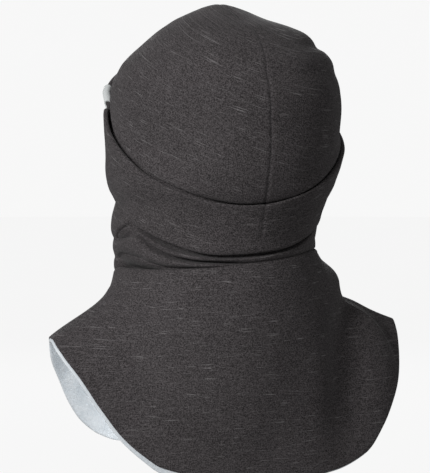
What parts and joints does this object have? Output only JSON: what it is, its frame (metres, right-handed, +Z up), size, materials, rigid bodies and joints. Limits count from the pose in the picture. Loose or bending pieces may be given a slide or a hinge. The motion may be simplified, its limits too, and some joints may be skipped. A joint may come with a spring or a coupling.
{
  "type": "balaclava",
  "caption": "Fleece-lined heather knit balaclava: a softly peaked cap with a turned-up cuff, an open face, a neck tube and a bib that falls over chest and back.",
  "frame": {"origin": "centre of the head cavity at the level where the head is widest, 100 mm below the tip of the cap", "axes": "+Z up to the tip of the cap, -Y out of the face opening, +X to the wearer's left"},
  "size_m": [0.2722, 0.2016, 0.3468],
  "materials": {
    "heather_knit": "charcoal heather jersey with light slubs, matt with a faint brushed sheen",
    "brushed_fleece": "pale grey brushed fleece, soft and matt",
    "thread": "charcoal sewing thread, slight sheen",
    "elastic_binding": "dark folded elastic, finely ribbed",
    "label_tape": "plain pale woven tape, blank"
  },
  "bodies": {
    "root": {"crown_left": "heather_knit", "crown_right": "heather_knit", "cuff_left": "heather_knit", "cuff_right": "heather_knit", "neck_left": "heather_knit", "neck_right": "heather_knit", "bib_back": "heather_knit", "bib_front": "heather_knit", "crown_lining_left": "brushed_fleece", "crown_lining_right": "brushed_fleece", "neck_lining_left": "brushed_fleece", "neck_lining_right": "brushed_fleece", "bib_back_lining": "brushed_fleece", "bib_front_lining": "brushed_fleece", "crown_seam_thread": "thread", "cap_seam_thread": "thread", "neck_seam_thread": "thread", "shoulder_seam_thread": "thread", "face_binding": "elastic_binding", "cuff_label": "label_tape", "care_label": "label_tape"}
  },
  "joints": []
}
